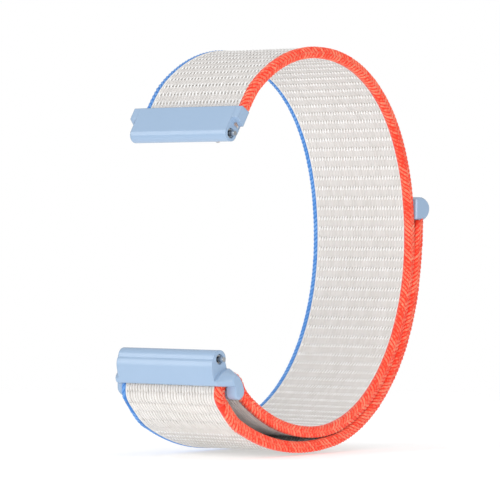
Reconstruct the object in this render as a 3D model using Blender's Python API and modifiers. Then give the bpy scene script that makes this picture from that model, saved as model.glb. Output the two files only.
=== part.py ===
"""Hook and loop watch strap: a woven band in a closed wrist loop, two lug connectors, two sprung bars.

The origin is the axis of the upper spring bar, at the middle of the strap's width.
+X runs along the bars to the coral edge, +Y runs back round the wrist, +Z is up to the 12 o'clock end.
The band's side view is a path in the Y-Z plane, and every woven piece is lofted along a stretch of it.
"""

import math

import bmesh
import bpy
from mathutils import Matrix, Vector

# Driving sizes, in metres
LUG_WIDTH = 0.0210
BAND_OVERHANG = 0.00025
BAND_WIDTH = LUG_WIDTH + 2 * BAND_OVERHANG
BAND_THICKNESS = 0.0019
FABRIC_THICKNESS = 0.0017
EDGE_FACE_WIDTH = 0.0011
EDGE_ROUNDING = 0.0006
SEAM_GAP = 0.0001
STATION_STEP = 0.0022

# The wrist loop: an oval whose four quarters have their own reaches from its centre
LOOP_CENTRE_Y = 0.02257
LOOP_CENTRE_Z = -0.01751
TOP_REACH = 0.0315
BOTTOM_REACH = 0.03225
BACK_REACH = 0.0257
FRONT_TOP_REACH = 0.0270
FRONT_BOTTOM_REACH = 0.0305
BACK_TOP_POWER_SHARE = 2.2
FRONT_BOTTOM_POWER_SHARE = 2.06
PLAIN_POWER_SHARE = 2.0
MAIN_START_ANGLE = math.radians(125)
MAIN_END_ANGLE = math.radians(-125)

# The tail lies on the outside of the main run, a layer pitch away
LAYER_PITCH = 0.0021
TAIL_END_ANGLE = math.radians(7.9)
TAIL_LEAVES_ANGLE = math.radians(-85)
TAIL_DROP = 0.0025
TAIL_DROP_POWER_SHARE = 1.3
TIP_LIFT = 0.0006
TIP_LIFT_ANGLE = math.radians(-12)
TIP_LIFT_SPAN = math.radians(18)

# The fold of the band over the lower connector's crossbar, an oval bar set forward in the fold
FOLD_Y = 0.0
FOLD_Z = -0.04235
CROSSBAR_HALF_WIDTH = 0.0008
CROSSBAR_HALF_HEIGHT = 0.00105
CROSSBAR_FORWARD = 0.0004
CROSSBAR_RISE = 0.0001
WRAP_CLEARANCE = 0.0004
FOLD_START_ANGLE = math.radians(25)
FOLD_END_ANGLE = math.radians(222)
PIECE_GAP = 0.0003
BEND_PULL_SHARE = 0.9

# Upper connector, in its own directions: up its face, and back from its face
FACE_LEAN = math.radians(33)
UPPER_BARREL_RADIUS = 0.00135
UPPER_FACE_LENGTH = 0.0045
UPPER_WIDE_LENGTH = 0.0021
UPPER_WIDE_BACK_LENGTH = 0.0028
UPPER_ARM_THICKNESS = 0.00099
UPPER_ARM_DEPTH = 0.0020
UPPER_ARM_SETBACK = 0.00003
UPPER_FRONT_WALL = 0.0012
UPPER_SOCKET_DEPTH = 0.0026
UPPER_BACK_WALL = 0.00095
UPPER_BACK_SETBACK = 0.0015
UPPER_BACK_WIDTH = LUG_WIDTH - 2 * UPPER_BACK_SETBACK
UPPER_BACK_DROP = 0.0005
SOCKET_CLEARANCE = 0.00006
UPPER_WIDTH = BAND_WIDTH + 2 * (SOCKET_CLEARANCE + UPPER_ARM_THICKNESS)
NOSE_CLEARANCE = 0.00005

# Lower connector
LOWER_BARREL_Y = -0.00283
LOWER_BARREL_Z = -0.03681
LOWER_BARREL_RADIUS = 0.0015
LIP_CLEARANCE = 0.00035
LIP_EDGE_THICKNESS = 0.00042
LIP_START_ANGLE = math.radians(105)
LIP_END_ANGLE = math.radians(162.5)
LIP_FLARE = math.radians(45)
LIP_TUCK = math.radians(14)
LIP_WIDE_SHARE = 0.85
BARREL_BACK_ANGLE = math.radians(-20)
WALL_CLEARANCE = 0.0002
LOWER_WALL_THICKNESS = 0.00205
LOWER_WIDTH = BAND_WIDTH + 2 * (WALL_CLEARANCE + LOWER_WALL_THICKNESS)
SHOULDER_SHELL = 0.00035
SHOULDER_SETBACK = 0.00185
SHOULDER_DROP = 0.00096
SHOULDER_ROOT = 0.0015
WALL_ROUNDING = 0.00035
WALL_ROUNDING_SHARE = 0.86
FOOT_FORWARD = 0.0006
FOOT_RISE = 0.00005
FOOT_RADIUS = 0.00112
FOOT_LEAN = math.radians(52)

# Spring bars
BAR_RADIUS = 0.00075
BAR_BORE_RADIUS = 0.00055
BAR_HOLE_RADIUS = 0.00085
BAR_END_SETBACK = 0.0003
TIP_RADIUS = 0.00040
TIP_REACH = 0.0009
SHANK_RADIUS = 0.00050
SHANK_SETBACK = 0.0005
FIXED_SHANK_LENGTH = 0.0066
PLUNGER_LENGTH = 0.0053
KNOB_SETBACK = 0.0040
KNOB_TRAVEL = 0.0014
STEM_RADIUS = 0.00035
KNOB_RADIUS = 0.00062
KNOB_HEIGHT = 0.00085
KNOB_BEVEL = 0.00012
KNOB_STANDOFF = 0.00115
SLOT_CLEARANCE = 0.00012
SPRING_COIL_RADIUS = 0.00036
SPRING_WIRE_RADIUS = 0.00009
SPRING_SEAT_GAP = 0.0001
SPRING_TURNS = 10

# End tab and hook patch
TAB_OVERHANG = 0.0001
TAB_WIDTH = BAND_WIDTH + 2 * TAB_OVERHANG
TAB_HEIGHT = 0.0039
TAB_INNER_SIDE = 0.0015
TAB_OUTER_SIDE = 0.0024
TAB_CROWN_OFFSET = 0.00035
TAB_WIDEST_HEIGHT = 0.0020
TAB_FOOT_REACH = 0.00095
TAB_SHOULDER_DROP = 0.0004
TAB_SOCKET_DEPTH = 0.0020
TAB_END_BEVEL = 0.0003
PATCH_START_ANGLE = math.radians(-52)
PATCH_END_ANGLE = math.radians(1)
PATCH_THICKNESS = 0.0006
PATCH_RECESS = 0.0005
PATCH_SIDE_MARGIN = 0.0004

# Facet counts and working values
ROUND_SIDES = 28
SMALL_SIDES = 16
ARC_STEPS = 12
EDGE_ROUNDING_STEPS = 3
BEND_STEPS = 24
SWEEP_STEPS = 160
COIL_POINTS = 9
CUT_OVERRUN = 0.0010
MERGE_DISTANCE = 0.0000001
NEARBY_ANGLE = math.radians(0.5)
FOLD_STATION_SHARE = 0.33

HALF_THICKNESS = BAND_THICKNESS / 2
FABRIC_HALF_THICKNESS = FABRIC_THICKNESS / 2
WRAP_RADIUS = CROSSBAR_HALF_HEIGHT + CROSSBAR_RISE + WRAP_CLEARANCE + HALF_THICKNESS
FOLD = Vector((FOLD_Y, FOLD_Z))
CROSSBAR = FOLD + Vector((-CROSSBAR_FORWARD, CROSSBAR_RISE))
FACE_UP = Vector((math.sin(FACE_LEAN), math.cos(FACE_LEAN)))
FACE_BACK = Vector((math.cos(FACE_LEAN), -math.sin(FACE_LEAN)))

FINISHES = {
    "woven_nylon": ((0.79, 0.76, 0.73), 0.9, 0.0),
    "coral_edge": ((1.0, 0.065, 0.03), 0.8, 0.0),
    "blue_edge": ((0.05, 0.24, 0.73), 0.8, 0.0),
    "hook_tape": ((0.62, 0.61, 0.60), 0.7, 0.0),
    "pale_blue": ((0.40, 0.55, 0.75), 0.4, 0.0),
    "steel": ((0.56, 0.57, 0.58), 0.3, 1.0),
}


def clear_scene():
    for item in list(bpy.data.objects):
        bpy.data.objects.remove(item)


def collection(name):
    group = bpy.data.collections.new(name)
    bpy.context.scene.collection.children.link(group)
    return group


def finish(name):
    """One Principled material for each finish, made once."""
    if name in bpy.data.materials:
        return bpy.data.materials[name]
    colour, roughness, metallic = FINISHES[name]
    material = bpy.data.materials.new(name)
    material.use_nodes = True
    shader = material.node_tree.nodes["Principled BSDF"]
    shader.inputs["Base Color"].default_value = (*colour, 1.0)
    shader.inputs["Roughness"].default_value = roughness
    shader.inputs["Metallic"].default_value = metallic
    return material


# Paths in the Y-Z plane

def oval_point(angle):
    """A point on the wrist loop. The angle is 0 at the back and a quarter turn at the top."""
    across = math.cos(angle)
    up = math.sin(angle)
    power = PLAIN_POWER_SHARE
    if across > 0 and up > 0:
        power = BACK_TOP_POWER_SHARE
    if across < 0 and up < 0:
        power = FRONT_BOTTOM_POWER_SHARE
    front_reach = FRONT_TOP_REACH if up > 0 else FRONT_BOTTOM_REACH
    reach_y = BACK_REACH if across > 0 else front_reach
    reach_z = TOP_REACH if up > 0 else BOTTOM_REACH
    y = math.copysign(abs(across) ** (2 / power), across) * reach_y
    z = math.copysign(abs(up) ** (2 / power), up) * reach_z
    return Vector((LOOP_CENTRE_Y + y, LOOP_CENTRE_Z + z))


def tail_offset(angle):
    """How far the tail's middle lies outside the main run's middle at that angle."""
    offset = LAYER_PITCH
    if angle < TAIL_LEAVES_ANGLE:
        share = (TAIL_LEAVES_ANGLE - angle) / (TAIL_LEAVES_ANGLE - MAIN_END_ANGLE)
        offset += TAIL_DROP * share ** TAIL_DROP_POWER_SHARE
    if angle > TIP_LIFT_ANGLE:
        offset += TIP_LIFT * ((angle - TIP_LIFT_ANGLE) / TIP_LIFT_SPAN) ** 2
    return offset


def unit_normals(points):
    """Unit normals of an open path, to the left of the way it runs."""
    normals = []
    last = len(points) - 1
    for place in range(len(points)):
        run = points[min(place + 1, last)] - points[max(place - 1, 0)]
        run.normalize()
        normals.append(Vector((-run.y, run.x)))
    return normals


def tail_point(angle):
    run = oval_point(angle - NEARBY_ANGLE) - oval_point(angle + NEARBY_ANGLE)
    side = Vector((-run.y, run.x)).normalized()
    return oval_point(angle) + side * tail_offset(angle)


def fold_circle(angle, radius=WRAP_RADIUS):
    return FOLD + Vector((math.cos(angle), math.sin(angle))) * radius


def circle_heading(angle):
    return Vector((-math.sin(angle), math.cos(angle)))


def upper_point(up, back):
    """A point of the upper connector: up its face from the bar, and back from the face."""
    return FACE_UP * up + FACE_BACK * (back - UPPER_BARREL_RADIUS)


def bend(start, start_heading, end, end_heading, steps=BEND_STEPS):
    """A smooth bend between two places, as a cubic that leaves and arrives on the given headings."""
    pull = (end - start).length * BEND_PULL_SHARE
    points = []
    for step in range(steps + 1):
        t = step / steps
        points.append(
            start * (2 * t ** 3 - 3 * t ** 2 + 1)
            + start_heading * (pull * (t ** 3 - 2 * t ** 2 + t))
            + end * (3 * t ** 2 - 2 * t ** 3)
            + end_heading * (pull * (t ** 3 - t ** 2))
        )
    return points


def even_path(points, step=STATION_STEP):
    """The same path with its points at even distances."""
    lengths = [0.0]
    for before, after in zip(points, points[1:]):
        lengths.append(lengths[-1] + (after - before).length)
    count = max(2, round(lengths[-1] / step))
    result = []
    place = 0
    for number in range(count + 1):
        wanted = lengths[-1] * number / count
        while place < len(points) - 2 and lengths[place + 1] < wanted:
            place += 1
        run = lengths[place + 1] - lengths[place]
        share = (wanted - lengths[place]) / run if run else 0.0
        result.append(points[place].lerp(points[place + 1], min(share, 1.0)))
    return result


def sweep_angles(start, end):
    return [start + (end - start) * number / SWEEP_STEPS for number in range(SWEEP_STEPS + 1)]


def heading_at(function, angle, turn):
    return (function(angle + turn * NEARBY_ANGLE) - function(angle)).normalized()


def main_path():
    """From the socket of the upper connector, over the top, round the back and up to the crossbar."""
    depth = UPPER_FRONT_WALL + SOCKET_CLEARANCE + HALF_THICKNESS
    foot = upper_point(UPPER_FACE_LENGTH - UPPER_SOCKET_DEPTH, depth)
    mouth = upper_point(UPPER_FACE_LENGTH, depth)
    joins = oval_point(MAIN_START_ANGLE)
    leaves = oval_point(MAIN_END_ANGLE)
    gap_angle = PIECE_GAP / WRAP_RADIUS
    fold = fold_circle(FOLD_START_ANGLE - gap_angle)
    points = [foot]
    points += bend(mouth, FACE_UP, joins, heading_at(oval_point, MAIN_START_ANGLE, -1))
    points += [oval_point(angle) for angle in sweep_angles(MAIN_START_ANGLE, MAIN_END_ANGLE)][1:]
    points += bend(
        leaves, heading_at(oval_point, MAIN_END_ANGLE, -1), fold, circle_heading(FOLD_START_ANGLE)
    )[1:]
    return even_path(points)


def fold_path():
    circle = [fold_circle(angle) for angle in sweep_angles(FOLD_START_ANGLE, FOLD_END_ANGLE)]
    return even_path(circle, STATION_STEP * FOLD_STATION_SHARE)


def tail_path(start_angle=None, end_angle=TAIL_END_ANGLE):
    """From the crossbar, back along the outside of the main run to the end tab."""
    if start_angle is not None:
        return even_path([tail_point(angle) for angle in sweep_angles(start_angle, end_angle)])
    gap_angle = PIECE_GAP / WRAP_RADIUS
    fold = fold_circle(FOLD_END_ANGLE + gap_angle)
    joins = tail_point(MAIN_END_ANGLE)
    points = bend(fold, circle_heading(FOLD_END_ANGLE), joins, heading_at(tail_point, MAIN_END_ANGLE, 1))
    points += [tail_point(angle) for angle in sweep_angles(MAIN_END_ANGLE, end_angle)][1:]
    return even_path(points)


# Solids

def add_object(name, mesh, finish_name, parts, parent=None):
    item = bpy.data.objects.new(name, mesh)
    item.data.materials.append(finish(finish_name))
    parts.objects.link(item)
    if parent is not None:
        item.parent = parent
        item.matrix_parent_inverse = Matrix.Translation(-parent.location)
    return item


def add_axis(name, place, parts):
    """An empty on a joint's axis, which carries the pieces that move about it."""
    empty = bpy.data.objects.new(name, None)
    empty.location = place
    parts.objects.link(empty)
    return empty


def mesh_from(bm, name):
    bmesh.ops.remove_doubles(bm, verts=bm.verts, dist=MERGE_DISTANCE)
    bmesh.ops.recalc_face_normals(bm, faces=bm.faces)
    mesh = bpy.data.meshes.new(name)
    bm.to_mesh(mesh)
    bm.free()
    return mesh


def loft(name, rings):
    """A closed solid through rings of equal count, with a flat cap at each end."""
    bm = bmesh.new()
    loops = [[bm.verts.new(corner) for corner in ring] for ring in rings]
    for before, after in zip(loops, loops[1:]):
        for place in range(len(before)):
            following = (place + 1) % len(before)
            bm.faces.new((before[place], before[following], after[following], after[place]))
    bm.faces.new(loops[0])
    bm.faces.new(loops[-1])
    return mesh_from(bm, name)


def section_ring(point, normal, section):
    """A section given across the strap and out from the path, set on the path."""
    return [Vector((x, *(point + normal * out))) for x, out in section]


def strip(name, path, section):
    """A woven piece: one section lofted along a path."""
    rings = [section_ring(point, normal, section) for point, normal in zip(path, unit_normals(path))]
    return loft(name, rings)


def slab_section(half_width, low, high):
    """A plain section: both ways across the strap, between two levels out from the path."""
    return [(-half_width, low), (half_width, low), (half_width, high), (-half_width, high)]


def fabric_section():
    """The woven middle of the band, between its two edge bindings."""
    half = BAND_WIDTH / 2 - EDGE_FACE_WIDTH - SEAM_GAP
    return slab_section(half, -FABRIC_HALF_THICKNESS, FABRIC_HALF_THICKNESS)


def edge_section(side):
    """One edge binding: flat where it meets the fabric, rounded outside."""
    inside = BAND_WIDTH / 2 - EDGE_FACE_WIDTH
    outside = BAND_WIDTH / 2
    corner = [(inside, -HALF_THICKNESS)]
    for turn, level in ((-math.pi / 2, -1), (0.0, 1)):
        for step in range(EDGE_ROUNDING_STEPS + 1):
            angle = turn + math.pi / 2 * step / EDGE_ROUNDING_STEPS
            x = outside - EDGE_ROUNDING + math.cos(angle) * EDGE_ROUNDING
            out = level * (HALF_THICKNESS - EDGE_ROUNDING) + math.sin(angle) * EDGE_ROUNDING
            corner.append((x, out))
    corner.append((inside, HALF_THICKNESS))
    return [(side * x, out) for x, out in corner]


def outline_solid(name, outline, half_width, middle=0.0):
    """A flat outline in the Y-Z plane, extruded both ways along X."""
    bm = bmesh.new()
    low = [bm.verts.new((middle - half_width, *point)) for point in outline]
    bm.faces.new(low)
    made = bmesh.ops.extrude_face_region(bm, geom=bm.faces[:])
    moved = [item for item in made["geom"] if isinstance(item, bmesh.types.BMVert)]
    bmesh.ops.translate(bm, verts=moved, vec=(2 * half_width, 0, 0))
    return mesh_from(bm, name)


def arc(centre, radius, start, end, steps=ARC_STEPS):
    """Points along an arc in the Y-Z plane."""
    points = []
    for step in range(steps + 1):
        angle = start + (end - start) * step / steps
        points.append(Vector(centre) + Vector((math.cos(angle), math.sin(angle))) * radius)
    return points


def rod(name, place, radius, start_x, end_x, sides=ROUND_SIDES):
    """A round bar along X through a place in the Y-Z plane."""
    bm = bmesh.new()
    middle = Vector(((start_x + end_x) / 2, *place))
    turn = Matrix.Rotation(math.pi / 2, 4, "Y")
    bmesh.ops.create_cone(
        bm,
        cap_ends=True,
        segments=sides,
        radius1=radius,
        radius2=radius,
        depth=abs(end_x - start_x),
        matrix=Matrix.Translation(middle) @ turn,
    )
    return mesh_from(bm, name)


def block(name, corner_low, corner_high):
    """A box between two corners of the upper connector's directions, in X, up and back."""
    outline = [
        upper_point(corner_low[1], corner_low[2]),
        upper_point(corner_high[1], corner_low[2]),
        upper_point(corner_high[1], corner_high[2]),
        upper_point(corner_low[1], corner_high[2]),
    ]
    half = (corner_high[0] - corner_low[0]) / 2
    return outline_solid(name, outline, half, (corner_low[0] + corner_high[0]) / 2)


def combine(item, tools, cutters, operation):
    """Booleans that stay on the object, one for each tool mesh."""
    for number, mesh in enumerate(tools):
        tool = bpy.data.objects.new(f"{item.name}_{operation.lower()}_{number}", mesh)
        tool.hide_render = True
        tool.display_type = "WIRE"
        cutters.objects.link(tool)
        step = item.modifiers.new(f"{operation.lower()}_{number}", "BOOLEAN")
        step.operation = operation
        step.solver = "EXACT"
        step.object = tool


# The woven band

def add_edges(prefix, path, parts, parent=None):
    """The coral binding on the +X side and the blue one on the -X side."""
    for name, side in (("coral_edge", 1), ("blue_edge", -1)):
        mesh = strip(f"{prefix}_{name}", path, edge_section(side))
        add_object(f"{prefix}_{name}", mesh, name, parts, parent)


def add_band_main(parts):
    path = main_path()
    add_object("band_main", strip("band_main", path, fabric_section()), "woven_nylon", parts)
    add_edges("main", path, parts)


def add_band_fold(parts):
    path = fold_path()
    add_object("band_fold", strip("band_fold", path, fabric_section()), "woven_nylon", parts)
    add_edges("fold", path, parts)


def add_band_tail(parts, cutters, axis):
    """The free end of the band, with a shallow recess on its inner face for the hook patch."""
    path = tail_path()
    tail = add_object("band_tail", strip("band_tail", path, fabric_section()), "woven_nylon", parts, axis)
    add_edges("tail", bound_tail_path(), parts, axis)
    end_gap = PIECE_GAP / BACK_REACH
    recess_path = tail_path(PATCH_START_ANGLE - end_gap, PATCH_END_ANGLE + end_gap)
    half = BAND_WIDTH / 2 - EDGE_FACE_WIDTH - PATCH_SIDE_MARGIN + SEAM_GAP
    section = slab_section(half, FABRIC_HALF_THICKNESS - PATCH_RECESS, HALF_THICKNESS + CUT_OVERRUN)
    combine(tail, [strip("patch_recess", recess_path, section)], cutters, "DIFFERENCE")


def add_hook_patch(parts, axis):
    path = tail_path(PATCH_START_ANGLE, PATCH_END_ANGLE)
    half = BAND_WIDTH / 2 - EDGE_FACE_WIDTH - PATCH_SIDE_MARGIN
    seat = FABRIC_HALF_THICKNESS - PATCH_RECESS + SEAM_GAP
    section = slab_section(half, seat, seat + PATCH_THICKNESS)
    add_object("hook_patch", strip("hook_patch", path, section), "hook_tape", parts, axis)


def tab_frame():
    """The tab's foot on the tail, the way the tail runs there and the way out of the loop."""
    angle = TAIL_END_ANGLE
    end = tail_point(angle)
    run = heading_at(tail_point, angle, 1)
    out = Vector((run.y, -run.x))
    return end, run, out


def bound_tail_path():
    """The tail's path up to the tab's foot, where its bound edges stop and the fabric alone goes on."""
    end, run, _ = tab_frame()
    limit = -(TAB_SOCKET_DEPTH + SEAM_GAP)
    path = tail_path()
    kept = [point for point in path if (point - end).dot(run) < limit]
    last = kept[-1]
    following = path[len(kept)]
    share = (limit - (last - end).dot(run)) / (following - last).dot(run)
    return even_path(kept + [last.lerp(following, share)])


def add_end_tab(parts, cutters, axis):
    """A rounded bar with closed ends on the tail's end, with the fabric held in a socket in its foot."""
    end, run, out = tab_frame()
    foot = -TAB_SOCKET_DEPTH
    top = foot + TAB_HEIGHT
    belly = foot + TAB_WIDEST_HEIGHT
    belly_reach = TAB_OUTER_SIDE + TAB_CROWN_OFFSET
    foot_turn = math.acos((TAB_FOOT_REACH + TAB_CROWN_OFFSET) / belly_reach)
    profile = [(-TAB_INNER_SIDE, foot)]
    for step in range(ARC_STEPS + 1):
        turn = -foot_turn + foot_turn * step / ARC_STEPS
        drop = TAB_WIDEST_HEIGHT * math.sin(turn) / math.sin(foot_turn)
        profile.append((belly_reach * math.cos(turn) - TAB_CROWN_OFFSET, belly + drop))
    for step in range(1, ARC_STEPS + 1):
        turn = math.pi / 2 * step / ARC_STEPS
        rise = (top - belly) * math.sin(turn)
        profile.append((belly_reach * math.cos(turn) - TAB_CROWN_OFFSET, belly + rise))
    profile.append((-TAB_INNER_SIDE, top - TAB_SHOULDER_DROP))
    outline = [end + out * side + run * along for side, along in profile]
    middle = sum(outline, Vector((0.0, 0.0))) / len(outline)
    reach = TAB_WIDTH / 2
    inset = [point + (middle - point).normalized() * TAB_END_BEVEL for point in outline]
    stations = (
        (-reach, inset),
        (-reach + TAB_END_BEVEL, outline),
        (reach - TAB_END_BEVEL, outline),
        (reach, inset),
    )
    mesh = loft("end_tab", [[Vector((x, *point)) for point in ring] for x, ring in stations])
    tab = add_object("end_tab", mesh, "pale_blue", parts, axis)
    path = tail_path(TAIL_END_ANGLE - TAB_HEIGHT * 2 / BACK_REACH)
    clear = FABRIC_HALF_THICKNESS + SOCKET_CLEARANCE
    section = slab_section(BAND_WIDTH / 2 - EDGE_FACE_WIDTH, -clear, clear)
    path.append(end + run * PIECE_GAP)
    combine(tab, [strip("tab_socket", path, section)], cutters, "DIFFERENCE")


# The connectors

def nose_half_width():
    return LUG_WIDTH / 2 - NOSE_CLEARANCE


def knob_middle_x():
    return nose_half_width() - KNOB_SETBACK


def knob_slot(name, place, back, depth, half_width):
    """A slot that lets the knob's stem run along the bar, cut back from the bar's axis."""
    middle = knob_middle_x() - KNOB_TRAVEL / 2
    half_length = KNOB_TRAVEL / 2 + half_width
    side = Vector((-back.y, back.x))
    start = Vector(place)
    outline = [
        start + side * half_width,
        start - side * half_width,
        start - side * half_width + back * depth,
        start + side * half_width + back * depth,
    ]
    return outline_solid(name, outline, half_length, middle)


def add_upper_connector(parts, cutters):
    """A broad front plate, a barrel for the bar and a socket that holds the band's end."""
    top = UPPER_FACE_LENGTH
    deep = UPPER_BARREL_RADIUS * 2
    socket_floor = top - UPPER_SOCKET_DEPTH - PIECE_GAP
    socket_back = UPPER_FRONT_WALL + BAND_THICKNESS + 2 * SOCKET_CLEARANCE
    wall_back = socket_back + UPPER_BACK_WALL
    barrel = arc((0.0, 0.0), UPPER_BARREL_RADIUS, math.pi - FACE_LEAN, 2 * math.pi - FACE_LEAN, ARC_STEPS * 2)
    nose = [upper_point(top, 0.0)] + barrel + [upper_point(socket_floor, deep), upper_point(top, deep)]
    holder = [
        upper_point(0.0, UPPER_BARREL_RADIUS),
        upper_point(0.0, deep),
        upper_point(socket_floor, wall_back),
        upper_point(top - UPPER_BACK_DROP, wall_back),
        upper_point(top - UPPER_BACK_DROP, UPPER_BARREL_RADIUS),
    ]
    arms = [
        upper_point(top - UPPER_WIDE_LENGTH, UPPER_ARM_SETBACK),
        upper_point(top - UPPER_WIDE_BACK_LENGTH, UPPER_ARM_DEPTH),
        upper_point(top, UPPER_ARM_DEPTH),
        upper_point(top, UPPER_ARM_SETBACK),
    ]
    plate = outline_solid("plate", arms, UPPER_WIDTH / 2)
    item = add_object(
        "upper_connector", outline_solid("nose", nose, nose_half_width()), "pale_blue", parts
    )
    combine(item, [outline_solid("holder", holder, UPPER_BACK_WIDTH / 2), plate], cutters, "UNION")
    half = BAND_WIDTH / 2 + SOCKET_CLEARANCE
    socket = block(
        "socket", (-half, socket_floor, UPPER_FRONT_WALL), (half, top + CUT_OVERRUN, socket_back)
    )
    far = UPPER_WIDTH
    hole = rod("bar_hole", (0.0, 0.0), BAR_HOLE_RADIUS, -far, far)
    slot = knob_slot("knob_slot", (0.0, 0.0), FACE_BACK, deep * 2, KNOB_RADIUS + SLOT_CLEARANCE)
    combine(item, [socket, hole, slot], cutters, "DIFFERENCE")


def lip_front():
    """The front of the lower connector, from the crease below its barrel, out and down to the lip's edge."""
    start = Vector((LOWER_BARREL_Y - LOWER_BARREL_RADIUS, LOWER_BARREL_Z))
    end = fold_circle(LIP_END_ANGLE, lip_inside() + LIP_EDGE_THICKNESS)
    flare = Vector((-math.sin(LIP_FLARE), -math.cos(LIP_FLARE)))
    tuck = Vector((math.sin(LIP_TUCK), -math.cos(LIP_TUCK)))
    return bend(start, flare, end, tuck)


def lip_inside():
    return WRAP_RADIUS + HALF_THICKNESS + LIP_CLEARANCE


def shoulder_outline(front, share):
    """The side view of a shoulder and its wall. The share sets the shoulder back, from 0 at the nose to 1."""
    ridge = round((len(front) - 1) * LIP_WIDE_SHARE)
    ridge_angle = math.atan2(front[ridge].y - FOLD.y, front[ridge].x - FOLD.x)
    ridge_reach = (front[ridge] - FOLD).length
    back_reach = lip_inside() + SHOULDER_SHELL
    top = []
    for step in range(ARC_STEPS):
        part = step / ARC_STEPS
        angle = LIP_START_ANGLE + (ridge_angle - LIP_START_ANGLE) * part
        point = fold_circle(angle, back_reach + (ridge_reach - back_reach) * part)
        top.append(point + Vector((SHOULDER_SETBACK * part, -SHOULDER_DROP * (1 - part))) * share)
    lip = [point + Vector((SHOULDER_SETBACK * share, 0.0)) for point in front[ridge:]]
    lip.append(fold_circle(LIP_END_ANGLE, lip_inside()) + Vector((SHOULDER_SETBACK * share, 0.0)))
    middle = FOLD + Vector((-FOOT_FORWARD, FOOT_RISE))
    foot = arc(middle, FOOT_RADIUS, math.pi, 2 * math.pi)
    lean = Vector((-math.sin(FOOT_LEAN), math.cos(FOOT_LEAN)))
    back = bend(foot[-1], Vector((0.0, 1.0)), top[0], lean, ARC_STEPS)
    corner = Vector((foot[0].x, lip[-1].y - FOOT_RISE))
    return top + lip + [corner] + foot + back[1:-1]


def shoulder(front, side):
    """One shoulder with its wall, rounded towards its outer side."""
    wide = LOWER_WIDTH / 2
    near = shoulder_outline(front, 0.0)
    far = shoulder_outline(front, 1.0)
    middle = sum(far, Vector((0.0, 0.0))) / len(far)
    end = [middle + (point - middle) * WALL_ROUNDING_SHARE for point in far]
    stations = (
        (nose_half_width() - SHOULDER_ROOT, near),
        (BAND_WIDTH / 2 + WALL_CLEARANCE + SEAM_GAP, near),
        (wide - WALL_ROUNDING, far),
        (wide, end),
    )
    return loft("shoulder", [[Vector((side * x, *point)) for point in ring] for x, ring in stations])


def add_lower_connector(parts, cutters, axis):
    """A barrel with a curved lip, two shoulders with walls and the crossbar that the band folds over."""
    barrel_place = (LOWER_BARREL_Y, LOWER_BARREL_Z)
    front = lip_front()
    nose = front[1:] + [fold_circle(LIP_END_ANGLE, lip_inside()), fold_circle(LIP_START_ANGLE, lip_inside())]
    nose += arc(barrel_place, LOWER_BARREL_RADIUS, BARREL_BACK_ANGLE, math.pi, ARC_STEPS * 2)
    item = add_object(
        "lower_connector", outline_solid("nose", nose, nose_half_width()), "pale_blue", parts, axis
    )
    combine(item, [shoulder(front, -1), shoulder(front, 1)], cutters, "UNION")
    inside = BAND_WIDTH / 2 + WALL_CLEARANCE
    combine(item, [rod("hollow", FOLD, lip_inside(), -inside, inside)], cutters, "DIFFERENCE")
    oval = []
    for step in range(ROUND_SIDES):
        turn = 2 * math.pi * step / ROUND_SIDES
        reach = Vector((math.cos(turn) * CROSSBAR_HALF_WIDTH, math.sin(turn) * CROSSBAR_HALF_HEIGHT))
        oval.append(CROSSBAR + reach)
    bar = outline_solid("crossbar", oval, LOWER_WIDTH / 2 - WALL_ROUNDING)
    combine(item, [bar], cutters, "UNION")
    far = LOWER_WIDTH
    hole = rod("lower_bar_hole", barrel_place, BAR_HOLE_RADIUS, -far, far)
    slot = knob_slot(
        "lower_knob_slot", barrel_place, lower_back(), LOWER_BARREL_RADIUS * 2, KNOB_RADIUS + SLOT_CLEARANCE
    )
    combine(item, [hole, slot], cutters, "DIFFERENCE")


def lower_back():
    """The wrist side of the lower connector, square to the line from its barrel to the crossbar."""
    down = (FOLD - Vector((LOWER_BARREL_Y, LOWER_BARREL_Z))).normalized()
    return Vector((-down.y, down.x))


# The spring bars

def add_bar(prefix, place, back, parts, cutters, carrier, slide):
    """A sprung bar: a slotted tube, a fixed tip, a plunger with its knob, and the spring between them."""
    end = nose_half_width()
    tube_end = end - BAR_END_SETBACK
    tube = add_object(
        f"{prefix}_bar_tube",
        rod("tube", place, BAR_RADIUS, -tube_end, tube_end),
        "steel",
        parts,
        carrier,
    )
    bore = rod("bore", place, BAR_BORE_RADIUS, -tube_end - CUT_OVERRUN, tube_end + CUT_OVERRUN)
    slot = knob_slot("tube_slot", place, back, BAR_RADIUS * 2, STEM_RADIUS + SLOT_CLEARANCE)
    combine(tube, [bore, slot], cutters, "DIFFERENCE")
    shank_end = tube_end - SHANK_SETBACK
    for name, side, length, parent in (
        ("fixed_tip", -1, FIXED_SHANK_LENGTH, carrier),
        ("release_tip", 1, PLUNGER_LENGTH, slide),
    ):
        shank = rod("shank", place, SHANK_RADIUS, side * (shank_end - length), side * shank_end, SMALL_SIDES)
        tip = rod(
            "tip", place, TIP_RADIUS, side * (shank_end - length / 2), side * (end + TIP_REACH), SMALL_SIDES
        )
        item = add_object(f"{prefix}_bar_{name}", shank, "steel", parts, parent)
        combine(item, [tip], cutters, "UNION")
    add_knob(f"{prefix}_release_knob", place, back, parts, cutters, slide)
    start = -(shank_end - FIXED_SHANK_LENGTH) + SPRING_SEAT_GAP
    stop = shank_end - PLUNGER_LENGTH - SPRING_SEAT_GAP
    add_spring(f"{prefix}_bar_spring", place, start, stop, parts, carrier)


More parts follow.
